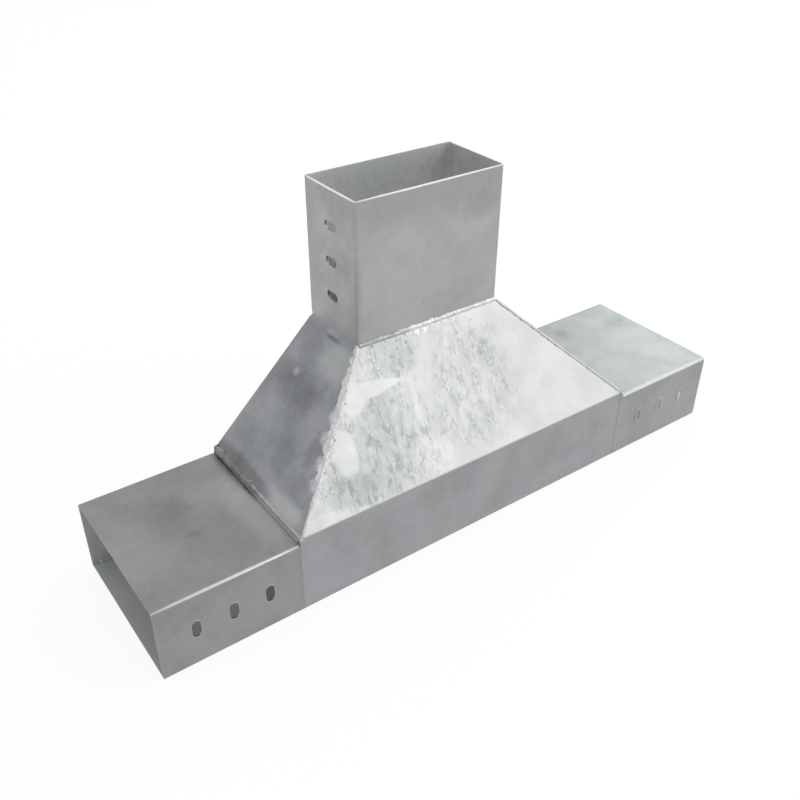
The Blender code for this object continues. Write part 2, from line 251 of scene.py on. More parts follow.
def ramp(tree, value, low, high, bottom=0, top=1):
    return addNode(tree, "ShaderNodeMapRange", {"interpolation_type": "SMOOTHSTEP", "From Min": low,
                   "From Max": high, "To Min": bottom, "To Max": top}, {"Value": value}).outputs["Result"]


def combine(tree, operation, first, second):
    # The first value is a socket, the second a socket or a number
    node = addNode(tree, "ShaderNodeMath", {"operation": operation}, {0: first})
    if isinstance(second, bpy.types.NodeSocket):
        tree.links.new(second, node.inputs[1])
    else:
        node.inputs[1].default_value = second
    return node.outputs["Value"]


def sumOf(tree, parts):
    # parts: (socket, weight)
    total = None
    for socket, weight in parts:
        scaled = addNode(tree, "ShaderNodeMath", {"operation": "MULTIPLY_ADD", 1: weight, 2: 0}, {0: socket})
        if total is not None:
            tree.links.new(total, scaled.inputs[2])
        total = scaled.outputs["Value"]
    return total


def noiseOf(tree, place, sizeMm, detail=3, roughness=0.5, distortion=0):
    return addNode(tree, "ShaderNodeTexNoise", {"Scale": 1000 / sizeMm, "Detail": detail,
                   "Roughness": roughness, "Distortion": distortion}, {"Vector": place}).outputs["Fac"]


plainCoat = {"ragged": 0.5, "raggedMm": 9, "soft": 0.15, "share": 1}


def patchMask(tree, place, coat):
    # Soft ragged ovals: centre and half sizes in mm, and a turn about Z in degrees
    coat = {**plainCoat, **coat}
    ragged, soft = coat["ragged"], coat["soft"]
    wobble = noiseOf(tree, place, coat["raggedMm"])
    masks = None
    for centre, half, turn in coat["ovals"]:
        local = addNode(tree, "ShaderNodeMapping", {"vector_type": "TEXTURE", "Location": mm(*centre),
                        "Scale": mm(*half), "Rotation": (0, 0, math.radians(turn))}, {"Vector": place})
        reach = addNode(tree, "ShaderNodeVectorMath", {"operation": "LENGTH"},
                        {0: local.outputs["Vector"]}).outputs["Value"]
        edge = sumOf(tree, [(reach, 1), (wobble, ragged)])
        middle = 1 + ragged / 2
        mask = ramp(tree, edge, middle - soft, middle + soft, coat["share"], 0)
        masks = mask if masks is None else combine(tree, "MAXIMUM", masks, mask)
    return masks


def mixColour(tree, factor, first, second, blend="MIX"):
    node = addNode(tree, "ShaderNodeMix", {"data_type": "RGBA", "blend_type": blend})
    for number, value in ((0, factor), (6, first), (7, second)):
        if isinstance(value, bpy.types.NodeSocket):
            tree.links.new(value, node.inputs[number])
        else:
            node.inputs[number].default_value = value
    return node.outputs[2]


def frozenRuns(tree, flat, runs, calm):
    # Zinc that froze while it ran off: short curled wrinkles, drawn as the level lines of a
    # stretched noise round its middle, 0.5, over mottled patches. Gives the wrinkles, the mottling
    # and where they lie
    leant = addNode(tree, "ShaderNodeMapping", {"Rotation": (0, 0, math.radians(runs["lean"]))},
                    {"Vector": flat}).outputs["Vector"]
    stretched = addNode(tree, "ShaderNodeMapping", {"Scale": (1, runs["widthMm"] / runs["lengthMm"], 1)},
                        {"Vector": leant}).outputs["Vector"]
    skin = noiseOf(tree, stretched, runs["widthMm"], detail=2, roughness=0.45, distortion=runs["curl"])
    level = combine(tree, "ABSOLUTE", combine(tree, "SUBTRACT", skin, 0.5), 0)
    wrinkles = ramp(tree, level, *runs["line"], 1, 0)
    broken = ramp(tree, noiseOf(tree, stretched, runs["breakMm"], detail=2), *runs["breakEdges"])
    mottle = ramp(tree, noiseOf(tree, stretched, runs["mottleMm"], detail=4, roughness=0.6),
                  *runs["mottleEdges"])
    where = patchMask(tree, flat, runs["where"])
    if calm is not None:
        where = combine(tree, "MULTIPLY", where, ramp(tree, calm, 0, 1, 1, 0))
    drawn = combine(tree, "MULTIPLY", combine(tree, "MULTIPLY", wrinkles, broken), where)
    return drawn, mottle, where


def galvanisedSteel(look):
    # Hot-dip galvanised sheet: zinc that froze in crystals a few mm wide under a dull, cloudy
    # oxide film, so that the eye sees soft patches, faint facets and blurred reflections
    material = bpy.data.materials.new(look["name"])
    material.use_nodes = True
    tree = material.node_tree
    shader = tree.nodes["Principled BSDF"]
    place = addNode(tree, "ShaderNodeTexCoord").outputs["Object"]
    shifted = addNode(tree, "ShaderNodeMapping", {"Location": mm(*look["shiftMm"])},
                      {"Vector": place}).outputs["Vector"]
    clouds = ramp(tree, noiseOf(tree, shifted, look["cloudMm"], detail=4, roughness=0.55),
                  *look["cloudEdges"])
    crystals = addNode(tree, "ShaderNodeTexVoronoi", {"Scale": 1000 / look["spangleMm"]}, {"Vector": shifted})
    facet = addNode(tree, "ShaderNodeSeparateColor", {}, {"Color": crystals.outputs["Color"]}).outputs["Red"]
    grain = ramp(tree, noiseOf(tree, shifted, look["grainMm"], detail=2), *look["grainEdges"])
    cloudShare, facetShare, grainShare = look["shares"]
    shade = sumOf(tree, [(clouds, cloudShare), (facet, facetShare), (grain, grainShare)])
    colour = mixColour(tree, shade, toLinear(look["dark"]), toLinear(look["light"]))
    # The oxide film is thicker in places: a breath of green or violet
    film = ramp(tree, noiseOf(tree, shifted, look["filmMm"], detail=2), *look["filmEdges"])
    filmColour = mixColour(tree, film, *[toLinear(tone) for tone in look["film"]])
    colour = mixColour(tree, 1, colour, filmColour, "MULTIPLY")
    smoothest, roughest = look["roughness"]
    rough = ramp(tree, shade, *look["shadeEdges"], roughest, smoothest)
    height = [(noiseOf(tree, shifted, look["buckleMm"], detail=1), look["buckleDepthMm"]),
              (noiseOf(tree, shifted, look["peelMm"]), look["peelDepthMm"]),
              (crystals.outputs["Distance"], look["crystalDepthMm"])]
    flat = place
    if "plane" in look:
        # Coordinates in the sheet's own plane: x along the fold, y up the slope
        flat = addNode(tree, "ShaderNodeMapping", {"Rotation": (-math.radians(look["plane"]["slope"]), 0, 0),
                       "Location": mm(*look["plane"]["shiftMm"])}, {"Vector": place}).outputs["Vector"]
    masks = [patchMask(tree, flat, coat) for coat in look["coats"]]
    if "runs" in look:
        runs = look["runs"]
        calm = None
        for coat, mask in zip(look["coats"], masks):
            if coat.get("calm"):
                calm = mask if calm is None else combine(tree, "MAXIMUM", calm, mask)
        drawn, mottle, where = frozenRuns(tree, flat, runs, calm)
        # The mottling darkens the colour, partly the zinc's own and partly painted reflection
        tone = mixColour(tree, mottle, toLinear(runs["mottle"]), toLinear("ffffff"))
        colour = mixColour(tree, where, colour, mixColour(tree, 1, colour, tone, "MULTIPLY"))
        # Painted shade in the wrinkles' troughs, darkening the colour under the bump
        shaded = mixColour(tree, 1, colour, toLinear(runs["troughShade"]), "MULTIPLY")
        colour = mixColour(tree, drawn, colour, shaded)
        height.append((drawn, -runs["depthMm"]))
        height.append((combine(tree, "MULTIPLY", mottle, where), runs["mottleDepthMm"]))
    for coat, mask in zip(look["coats"], masks):
        laid = toLinear(coat["colour"])
        if coat["blend"] == "MULTIPLY":
            laid = mixColour(tree, 1, colour, laid, "MULTIPLY")
        colour = mixColour(tree, mask, colour, laid)
        if "roughness" in coat:
            rough = addNode(tree, "ShaderNodeMix", {"data_type": "FLOAT", 3: coat["roughness"]},
                            {0: mask, 2: rough}).outputs[0]
    # Flux specks, a millimetre or two across
    spots = addNode(tree, "ShaderNodeTexVoronoi", {"Scale": 1000 / look["speckEveryMm"]}, {"Vector": shifted})
    speck = ramp(tree, spots.outputs["Distance"], *look["speckEdges"], look["speckStrength"], 0)
    colour = mixColour(tree, speck, colour, toLinear(look["speckColour"]))

    tree.links.new(colour, shader.inputs["Base Color"])
    tree.links.new(rough, shader.inputs["Roughness"])
    shader.inputs["Metallic"].default_value = look["metallic"]
    # Bump height in mm, so that every depth above is a real one
    relief = addNode(tree, "ShaderNodeBump", {"Strength": 1, "Distance": 0.001},
                     {"Height": sumOf(tree, height)}).outputs["Normal"]
    tree.links.new(relief, shader.inputs["Normal"])
    return material


sheetLook = {
    # Lengths in mm. Each pair of edges says between which values of a pattern the eye sees it rise
    "name": "dull galvanised sheet steel",
    "dark": "88898a",
    "light": "989897",
    "metallic": 1,
    "shares": (0.6, 0.2, 0.2),  # of the clouds, the crystals' facets and the grain
    "shiftMm": (0, 0, 0),
    "cloudMm": 75,
    "cloudEdges": (0.34, 0.66),
    "spangleMm": 8,
    "grainMm": 1.8,
    "grainEdges": (0.3, 0.7),
    "filmMm": 60,
    "filmEdges": (0.35, 0.65),
    "film": ("fefffc", "fefdff"),
    "shadeEdges": (0.1, 0.9),
    "roughness": (0.34, 0.46),
    "buckleMm": 150,
    "buckleDepthMm": 1.4,
    "peelMm": 16,
    "peelDepthMm": 0.08,
    "crystalDepthMm": 0.02,
    "speckEveryMm": 60,
    "speckEdges": (0.02, 0.045),
    "speckStrength": 0.25,
    "speckColour": "5a5a55",
    "coats": [],
}

# Painted highlights: folds and rims painted brighter and smoother, standing in for the light they catch. One
# thin line each
paintedEdgeHighlight = {"colour": "e6e8e8", "blend": "MIX", "roughness": 0.2, "ragged": 0.5, "raggedMm": 12, "soft": 0.35}

leftStubSteel = galvanisedSteel({**sheetLook, "coats": [
    # Painted shade on the top beside the lip's concave fold, along its back half
    {"colour": "e4e4e3", "blend": "MULTIPLY", "ragged": 0.6, "soft": 0.5,
     "ovals": [((-250, 55, 94), (7, 60, 12), 0)]},
    {"colour": "a8a8a7", "blend": "MIX", "ragged": 0.8, "soft": 0.6, "share": 0.6,
     "ovals": [((-263, -30, 94), (16, 66, 9), 0)]},
    {"colour": "9a9a9b", "blend": "MIX", "ragged": 0.8, "soft": 0.6, "share": 0.6,
     "ovals": [((-259, -104, 46), (15, 6, 54), 0)]},
    {"colour": "ececee", "blend": "MULTIPLY", "ragged": 0.9, "soft": 0.6,
     "ovals": [((-330, -20, 94), (9, 7, 12), 0), ((-345, 30, 94), (26, 40, 12), 40)]},
    # Painted highlight along the top's front fold
    {**paintedEdgeHighlight, "colour": "c6c8c8", "ovals": [((-333, -101, 93), (86, 1.8, 1.8), 0)]},
]})

frontWallSteel = galvanisedSteel({**sheetLook, "name": "dull galvanised sheet, front wall",
                                  "dark": "939496", "light": "a1a1a4", "shiftMm": (120, 0, 40),
                                  "film": ("fdfffe", "fffdff")})

riserSteel = galvanisedSteel({
    **sheetLook,
    "name": "dull galvanised sheet, riser",
    "dark": "a0a0a1",
    "light": "aeaeae",
    "shiftMm": (0, 300, 40),
    "coats": [
        {"colour": "eaebeb", "blend": "MULTIPLY", "ragged": 0.8, "raggedMm": 40, "soft": 0.6,
         "ovals": [((0, 2, 404), (130, 60, 34), 0), ((70, 2, 372), (26, 12, 20), 0)]},
        {"colour": "ecedee", "blend": "MULTIPLY", "ragged": 0.8, "raggedMm": 40, "soft": 0.6,
         "ovals": [((-103, 52, 300), (8, 70, 66), 0)]},
        # Painted highlights along the top rims
        {**paintedEdgeHighlight, "ovals": [((0, 2, 407.5), (108, 2.2, 1.4), 0), ((-101, 50, 407.5), (2.2, 56, 1.4), 0),
                             ((101, 50, 407.5), (2.2, 56, 1.4), 0)]},
        # A painted shade line in the crease where the side folds out, and pale smears round the slots, partly
        # zinc and partly painted highlight
        {"colour": "d6d6d6", "blend": "MULTIPLY", "ragged": 0.6, "soft": 0.6,
         "ovals": [((-103, 54, 233), (6, 24, 3), 0)]},
        {"colour": "b0b2b2", "blend": "MIX", "ragged": 1.1, "raggedMm": 6, "soft": 0.5, "share": 0.3,
         "ovals": [((-102, 58, 365), (4, 17, 10), 0), ((-102, 60, 322), (4, 18, 10), 0),
                   ((-102, 56, 281), (4, 16, 9), 0)]},
    ],
})

slopeSteel = galvanisedSteel({
    **sheetLook,
    # The brightest sheet: a thick coat that wrinkled as it ran, so clear reflections that break up
    # on the left and lie smooth on the right. Its base is painted brighter than the other sheets, partly
    # for the light it reflects, and its dark mottling and wrinkle troughs are partly painted reflection and
    # shade
    "name": "bright galvanised sheet with frozen runs",
    "dark": "9f9f9f",
    "light": "a5a5a4",
    "film": ("fdfefe", "fefefe"),
    "filmMm": 35,
    "cloudMm": 45,
    "roughness": (0.26, 0.34),
    "buckleDepthMm": 0.8,
    "peelDepthMm": 0.05,
    "crystalDepthMm": 0.01,
    "plane": {"slope": 52.9, "shiftMm": (0, -18.3, -141.7)},
    "runs": {
        "lean": 8,
        "widthMm": 7,
        "lengthMm": 15,
        "curl": 0.6,
        "line": (0.01, 0.085),
        "breakMm": 13,
        "breakEdges": (0.42, 0.6),
        "mottleMm": 8,
        "mottleEdges": (0.36, 0.64),
        "mottle": "eef0f1",
        # painted shade in the wrinkles' troughs
        "troughShade": "dfe2e3",
        "depthMm": 0.06,
        "mottleDepthMm": 0.05,
        "where": {"ragged": 0.6, "raggedMm": 22, "soft": 0.3, "ovals": [
            ((-118, 62, 0), (80, 100, 20), -28), ((-72, 150, 0), (44, 26, 20), 0),
            ((22, 88, 0), (66, 74, 20), -35)]},
    },
    "coats": [
        # Darker patches where the reflections break up: partly dull zinc, partly painted reflection
        {"colour": "f1f3f4", "blend": "MULTIPLY", "ragged": 0.9, "raggedMm": 14, "soft": 0.4, "ovals": [
            ((-66, 148, 0), (34, 22, 20), 0), ((-106, 66, 0), (34, 62, 20), -24)]},
        {"colour": "f3f4f3", "blend": "MULTIPLY", "ragged": 0.5, "raggedMm": 30, "soft": 0.6, "ovals": [
            ((140, 60, 0), (130, 130, 20), 0), ((-14, 140, 0), (22, 40, 20), -10)]},
        {"colour": "e9eeec", "blend": "MULTIPLY", "ragged": 0.9, "raggedMm": 12, "soft": 0.3, "ovals": [
            ((-172, 26, 0), (36, 19, 20), -12)]},
        # Calm patches, where the zinc ran off smoothly: a horn, an oval, a strip along the hip, a leaf
        {"colour": "a6a7a7", "blend": "MIX", "calm": True, "ragged": 0.6, "raggedMm": 13, "soft": 0.22,
         "ovals": [((-132, 121, 0), (18, 19, 20), -25), ((-110, 123, 0), (28, 9.5, 20), -4),
                   ((-90, 123, 0), (24, 5.5, 20), -4), ((-162, 66, 0), (13, 26, 20), -8),
                   ((-190, 78, 0), (9, 112, 20), -39.7), ((-226, 6, 0), (28, 9, 20), 8)]},
        {"colour": "9d9e9d", "blend": "MIX", "calm": True, "ragged": 0.7, "soft": 0.4, "share": 0.6,
         "ovals": [((-30, 122, 0), (11, 38, 20), -20)]},
        # Painted darker and rougher along the fold at the slope's foot, to dim the highlight it catches
        {"colour": "9a9b9b", "blend": "MIX", "roughness": 0.34, "ragged": 0.5, "raggedMm": 12, "soft": 0.35,
         "ovals": [((0, 0.6, 0), (247, 2.0, 4), 0)]},
    ],
})

endSteel = galvanisedSteel({
    **sheetLook,
    # Heat from the hip welds left this slope cloudier, with blue and violet patches
    "name": "cloudy galvanised sheet beside the welds",
    "dark": "858789",
    "light": "979899",
    "shares": (0.7, 0.15, 0.15),
    "cloudMm": 42,
    "film": ("fbfefe", "fdfbff"),
    "filmMm": 30,
    "peelDepthMm": 0.12,
    "coats": [
        {"colour": "ebf1f2", "blend": "MULTIPLY", "ragged": 0.9, "soft": 0.5, "ovals": [
            ((-204, 4, 142), (30, 40, 30), 0)]},
        {"colour": "e4e2e9", "blend": "MULTIPLY", "ragged": 0.9, "soft": 0.5, "ovals": [
            ((-185, -42, 158), (24, 13, 24), 0)]},
        {"colour": "dedfe0", "blend": "MULTIPLY", "ragged": 0.9, "soft": 0.5, "ovals": [
            ((-158, 44, 184), (26, 38, 26), 0)]},
        {"colour": "a2a4a6", "blend": "MIX", "ragged": 0.8, "soft": 0.4, "share": 0.6, "ovals": [
            ((-122, 14, 218), (20, 30, 20), 0)]},
        {"colour": "b4b4b6", "blend": "MIX", "ragged": 0.9, "soft": 0.6, "share": 0.6, "ovals": [
            ((-237, -54, 108), (10, 34, 10), 0)]},
        # Soot and flux along the back half of the foot, and a short painted shade line just below the crease
        # under the riser
        {"colour": "cdcdce", "blend": "MULTIPLY", "ragged": 0.8, "soft": 0.5, "ovals": [
            ((-240, 50, 105), (10, 60, 9), 0), ((-109, 44, 231), (2.5, 16, 2.5), 0)]},
        # Silver smears beside the hip, where the blobs of its weld are
        {"colour": "c6c8cc", "blend": "MIX", "ragged": 1.4, "raggedMm": 5, "soft": 0.6, "share": 0.6,
         "ovals": [((-208, -70, 136), (7, 7, 7), 0), ((-192, -58, 151), (8, 7, 7), 0),
                   ((-174, -44, 168), (8, 8, 8), 0), ((-158, -32, 184), (7, 7, 7), 0)]},
        {"colour": "b6b4b6", "blend": "MIX", "ragged": 0.8, "soft": 0.6, "share": 0.5, "ovals": [
            ((-149, 62, 192), (5, 5, 5), 0)]},
    ],
})

rightStubSteel = galvanisedSteel({
    **sheetLook,
    # Painted a little brighter than its neighbours, partly for the light that falls on this end, with a
    # greenish film in loose patches
    "name": "mottled galvanised sheet with a green film",
    "dark": "929595",
    "light": "969998",
    "roughness": (0.37, 0.43),
    "buckleDepthMm": 1.0,
    "cloudMm": 40,
    "film": ("fafffc", "fbfdff"),
    "filmMm": 40,
    "peelDepthMm": 0.12,
    "shiftMm": (50, 90, 0),
    "coats": [
        {"colour": "e9eceb", "blend": "MULTIPLY", "ragged": 2.0, "raggedMm": 15, "soft": 0.8, "ovals": [
            ((388, 46, 94), (24, 12, 20), 25), ((298, 62, 94), (10, 15, 20), 20)]},
        # Painted highlight along the top's front fold, faint
        {**paintedEdgeHighlight, "colour": "9c9e9e", "roughness": 0.34, "ragged": 1.0, "raggedMm": 5,
         "ovals": [((330, -100.6, 93), (92, 3.4, 3.4), 0)]},
    ],
})

insideSteel = galvanisedSteel({
    **sheetLook,
    # Kept from rain and hands: a chalky white zinc film, which spreads the light that gets in
    "name": "galvanised sheet under a chalky film, inside",
    "dark": "d6d8d8",
    "light": "e2e4e3",
    "metallic": 0.15,
    "roughness": (0.5, 0.6),
    "coats": [
        # Painted shade inside: darker at the right end's floor, though the lamp shines in there, and at the
        # left end and under the riser's top
        {"colour": "9a9a98", "blend": "MULTIPLY", "ragged": 0.3, "soft": 0.3, "ovals": [
            ((385, 0, 0), (120, 140, 60), 0)]},
        {"colour": "c4c6c6", "blend": "MULTIPLY", "ragged": 0.5, "soft": 0.5, "ovals": [
            ((-415, 0, 40), (78, 160, 140), 0), ((0, 52, 410), (150, 90, 60), 0)]},
    ],
})

pooledSteel = galvanisedSteel({
    **sheetLook,
    # Zinc that pooled along the turned-up lips: paler and more matt than the sheet
    "name": "pooled matt zinc along a fold",
    "dark": "9ea0a0",
    "light": "b0b2b2",
    "metallic": 0.4,
    "roughness": (0.45, 0.55),
    "cloudMm": 12,
    "coats": [
        {"colour": "b6b6b6", "blend": "MULTIPLY", "ragged": 0.8, "soft": 0.3, "ovals": [
            ((-247, 50, 98), (8, 56, 9), 0)]},
    ],
})

weldLook = {
    **sheetLook,
    # Rough steel bead under zinc: small bright crests and dark hollows
    "name": "galvanised weld metal",
    "dark": "86888a",
    "light": "bdbfc0",
    "shares": (0.4, 0.2, 0.4),
    "cloudMm": 9,
    "spangleMm": 4,
    "grainMm": 1.2,
    "roughness": (0.3, 0.45),
    "buckleMm": 20,
    "buckleDepthMm": 0.1,
    "peelMm": 3,
    "peelDepthMm": 0.12,
}

brightWeldLook = {
    **weldLook,
    # Zinc lies thick on it, so that it looks paler and less like bare metal. The pale base is partly painted
    # light too: it lifts the bead's flanks that face away from the lamp
    "name": "weld metal under thick pale zinc",
    "metallic": 0.5,
    "dark": "a6a8a9",
    "light": "d6d8d8",
    "roughness": (0.35, 0.5),
}
brightWeldSteel = galvanisedSteel(brightWeldLook)

riserWeldSteel = galvanisedSteel({
    **brightWeldLook,
    # White where metal spilled in the middle, greyer at the left where thin zinc covers it
    "name": "weld metal under pale zinc, greyer at the left",
    "coats": [
        {"colour": "d2d6d5", "blend": "MULTIPLY", "ragged": 0.8, "raggedMm": 6, "soft": 0.4, "ovals": [
            ((-76, 0, 238), (38, 20, 20), 0)]},
    ],
})

quietWeldSteel = galvanisedSteel({**weldLook, "name": "dull weld metal, brushed down",
                                  "dark": "7f8183", "light": "97999a", "roughness": (0.4, 0.55)})
print("materials ready")


# ---- folded sheets ----

sheetForm = {
    # Angles in degrees. A face is inside when it looks at the middle of the hollow from 20 mm or more
    "flatWithin": 0.5,
    "edgeMm": 0.35,
    "steps": 2,
    "sharpFrom": 35,
    "smoothTo": 40,
    "insideFrom": 0.02,
    # How far a face looks to one side, and where the lips and the hood begin, in m
    "sloping": (0.3, 0.9),
    "upright": 0.9,
    "lipX": 0.247,
    "lipReach": 0.003,
    "lipFoot": 0.0945,
    "hoodFoot": 0.1,
    "runMiddleZ": 0.047,
    "hoodMiddleY": 0.052,
    "plateMiddleZ": 0.1,
}


def dressSheet(nodeName, pieceName, outside, hollow):
    # The sheet as packed, with its cut edges rounded by the zinc and its folds shaded smooth.
    # outside: (test on a face, material), the last one for all other faces
    piece = copyOfNode(nodeName, pieceName)
    bpy.ops.object.mode_set(mode="EDIT")
    bpy.ops.mesh.select_all(action="SELECT")
    bpy.ops.mesh.dissolve_limited(angle_limit=math.radians(sheetForm["flatWithin"]))
    bpy.ops.object.mode_set(mode="OBJECT")
    for material in [material for test, material in outside] + [insideSteel]:
        piece.data.materials.append(material)
    for face in piece.data.polygons:
        face.material_index = next(i for i, (test, m) in enumerate(outside) if test(face))
        if face.normal.dot(hollow(face.center) - face.center) > sheetForm["insideFrom"]:
            face.material_index = len(outside)
    rounding = piece.modifiers.new("Zinc edge", "BEVEL")
    rounding.width = sheetForm["edgeMm"] / 1000
    rounding.segments = sheetForm["steps"]
    rounding.limit_method = "ANGLE"
    rounding.angle_limit = math.radians(sheetForm["sharpFrom"])
    applyModifiers(piece)
    bpy.ops.object.shade_smooth_by_angle(angle=math.radians(sheetForm["smoothTo"]))
    flatten = piece.modifiers.new("Flat faces stay flat", "WEIGHTED_NORMAL")
    flatten.keep_sharp = True
    applyModifiers(piece)
    keepPiece(piece, nodeName)


def anyFace(face):
    return True


def isSloping(face):
    least, most = sheetForm["sloping"]
    return least < face.normal.z < most


def isFrontSlope(face):
    return face.normal.y < -sheetForm["sloping"][0] and isSloping(face)


def isFrontWall(face):
    return face.normal.y < -sheetForm["upright"]


def isLip(face):
    beside = abs(abs(face.center.x) - sheetForm["lipX"])
    return beside < sheetForm["lipReach"] and face.center.z > sheetForm["lipFoot"]


def isEndSlope(face):
    sideways = abs(face.normal.x) > sheetForm["sloping"][0]
    return sideways and isSloping(face) and face.center.z > sheetForm["hoodFoot"]


def runMiddle(point):
    return Vector((point.x, 0, sheetForm["runMiddleZ"]))


def hoodMiddle(point):
    return Vector((0, sheetForm["hoodMiddleY"], point.z))


def plateMiddle(point):
    return Vector((0, 0, sheetForm["plateMiddleZ"]))


rightStubSteels = [(isLip, pooledSteel), (isFrontWall, frontWallSteel), (anyFace, rightStubSteel)]
dressSheet("left_stub", "left_stub_sheet", [(isLip, pooledSteel), (anyFace, leftStubSteel)], runMiddle)
dressSheet("right_stub", "right_stub_sheet", rightStubSteels, runMiddle)
dressSheet("front_panel", "front_panel_sheet",
           [(isFrontSlope, slopeSteel), (anyFace, frontWallSteel)], hoodMiddle)
dressSheet("riser_sheet", "riser_wrap_sheet", [(isEndSlope, endSteel), (anyFace, riserSteel)], hoodMiddle)
dressSheet("back_plate", "back_plate_sheet", [(anyFace, riserSteel)], plateMiddle)
dressSheet("bottom_plate", "bottom_plate_sheet", [(anyFace, leftStubSteel)], plateMiddle)
print("sheets dressed")


# ---- slot rims ----

slotRims = {
    # Zinc that gathered round the bolt slots, which are 11 wide and 22 long. All in mm
    "lineMm": 5.7,
    "thickMm": 0.6,
    "flatness": 0.5,
    "clogged": {"lineMm": 4.2, "thickMm": 3.5, "flatness": 0.2},  # the three in front at the right
    "stretchMm": 11,
    "steps": (36, 8),
    "runX": (287.5, 330, 372.5),
    "runZ": 47,
    "wallY": 102,
    "riserZ": (280, 322.5, 365),
    "riserX": 102,
    "riserY": 52,
    "lumps": ((5.0, 0.35),),
}


def layRim(name, rim, centre, outward, along):
    # A ring drawn out to the slot's length, lying in the wall's face
    stepsAlong, stepsRound = rim["steps"]
    bpy.ops.mesh.primitive_torus_add(major_radius=rim["lineMm"] / 1000, minor_radius=rim["thickMm"] / 1000,
                                     major_segments=stepsAlong, minor_segments=stepsRound)
    ring = bpy.context.object
    ring.name = name
    bpy.ops.object.mode_set(mode="EDIT")
    bpy.ops.mesh.select_all(action="DESELECT")
    bpy.ops.object.mode_set(mode="OBJECT")
    for vertex in ring.data.vertices:
        vertex.select = vertex.co.y > touching
    bpy.ops.object.mode_set(mode="EDIT")
    bpy.ops.transform.translate(value=(0, rim["stretchMm"] / 1000, 0))
    bpy.ops.mesh.select_all(action="SELECT")
    bpy.ops.transform.translate(value=(0, -rim["stretchMm"] / 2000, 0))
    bpy.ops.transform.resize(value=(1, 1, rim["flatness"]), center_override=(0, 0, 0))
    bpy.ops.object.mode_set(mode="OBJECT")
    turn = Matrix((along.cross(outward), along, outward)).transposed().to_4x4()
    ring.matrix_world = Matrix.Translation(centre) @ turn
    useOnly(ring)
    bpy.ops.object.transform_apply(location=True, rotation=True, scale=True)
    return ring


def roughen(piece, lumps):
    # Uneven metal: one or two sizes of lump, from plain cloud noise pushed both ways
    for number, (sizeMm, depthMm) in enumerate(lumps):
        pattern = bpy.data.textures.new(piece.name + "_lumps_" + str(number), "CLOUDS")
        pattern.noise_scale = sizeMm / 1000
        pattern.noise_depth = 1
        push = piece.modifiers.new("Lumps", "DISPLACE")
        push.texture = pattern
        push.texture_coords = "LOCAL"
        push.strength = depthMm / 1000
        push.mid_level = 0.5


for end, sign in (("left", -1), ("right", 1)):
    rings = []
    for x in slotRims["runX"]:
        for wall in (-1, 1):
            rim = {**slotRims, **(slotRims["clogged"] if (sign, wall) == (1, -1) else {})}
            centre = mm(sign * x, wall * slotRims["wallY"], slotRims["runZ"])
            rings.append(layRim(end + "_slot_rims", rim, centre, wall * backward, upward))
    for z in slotRims["riserZ"]:
        centre = mm(sign * slotRims["riserX"], slotRims["riserY"], z)
        rings.append(layRim("riser_rim", slotRims, centre, sign * rightward, backward))
    rims = joinInto(rings[0], rings[1:])
    roughen(rims, slotRims["lumps"])
    applyModifiers(rims)
    bpy.ops.object.shade_smooth()
    rims.data.materials.append(riserSteel if end == "left" else frontWallSteel)
    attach(rims, "root")
print("slot rims laid")


# ---- weld beads ----

domeForm = {
    "segments": 12,
    "rings": 8,
    "crestFrom": 0.3,  # share of the height above which it leans
    "gapJitter": 0.4,  # how far a dome strays along the joint, in pitches
}


def makeDome(name, bead):
    # A flat lens whose crest leans over, as each ripple of a bead does
    bpy.ops.mesh.primitive_uv_sphere_add(segments=domeForm["segments"], ring_count=domeForm["rings"],
                                         radius=1)
    dome = bpy.context.object
    dome.name = name
    half = [size / 2000 for size in bead["domeMm"]]
    bpy.ops.object.mode_set(mode="EDIT")
    bpy.ops.transform.resize(value=half)
    bpy.ops.mesh.select_all(action="DESELECT")
    bpy.ops.object.mode_set(mode="OBJECT")
    for vertex in dome.data.vertices:
        vertex.select = vertex.co.z > half[2] * domeForm["crestFrom"]
    bpy.ops.object.mode_set(mode="EDIT")
    bpy.ops.transform.translate(value=(0, half[1] * bead["lean"], 0))
    bpy.ops.object.mode_set(mode="OBJECT")
    return dome


def sizeAt(sizes, share):
    # Size between the two nearest of the (place, size) pairs
    for (before, low), (after, high) in zip(sizes, sizes[1:]):
        if share <= after:
            return low + (high - low) * (share - before) / (after - before)
    return sizes[-1][1]


def layDomes(name, joint, bead, draw):
    # One dome copied along the joint, with uneven gaps and sizes
    dome = makeDome(name, bead)
    along = joint["end"] - joint["start"]
    ahead = along.normalized()
    across = ahead.cross(joint["outward"]).normalized()
    turn = Matrix((across, ahead, across.cross(ahead))).transposed().to_4x4()
    count = max(2, round(along.length * 1000 / bead["pitchMm"]))
    jitter = domeForm["gapJitter"]
    copies = []
    for step in range(count):
        share = min(1, max(0, (step + draw.uniform(-jitter, jitter)) / (count - 1)))
        size = sizeAt(bead["sizes"], share) * draw.uniform(1 - bead["uneven"], 1 + bead["uneven"])
        aside = bead.get("asideMm", 0) + draw.uniform(-1, 1) * bead["strayMm"]
        useOnly(dome)
        bpy.ops.object.duplicate()
        ripple = bpy.context.view_layer.objects.active
        ripple.matrix_world = (Matrix.Translation(joint["start"] + along * share) @ turn
                               @ Matrix.Translation(mm(aside, 0, bead.get("liftMm", 0) * size))
                               @ Matrix.Diagonal((size, size, size, 1)))
        copies.append(ripple)
    bpy.data.objects.remove(dome)
    chain = joinInto(copies[0], copies[1:])
    bpy.ops.object.transform_apply(location=True, rotation=True, scale=True)
    return chain


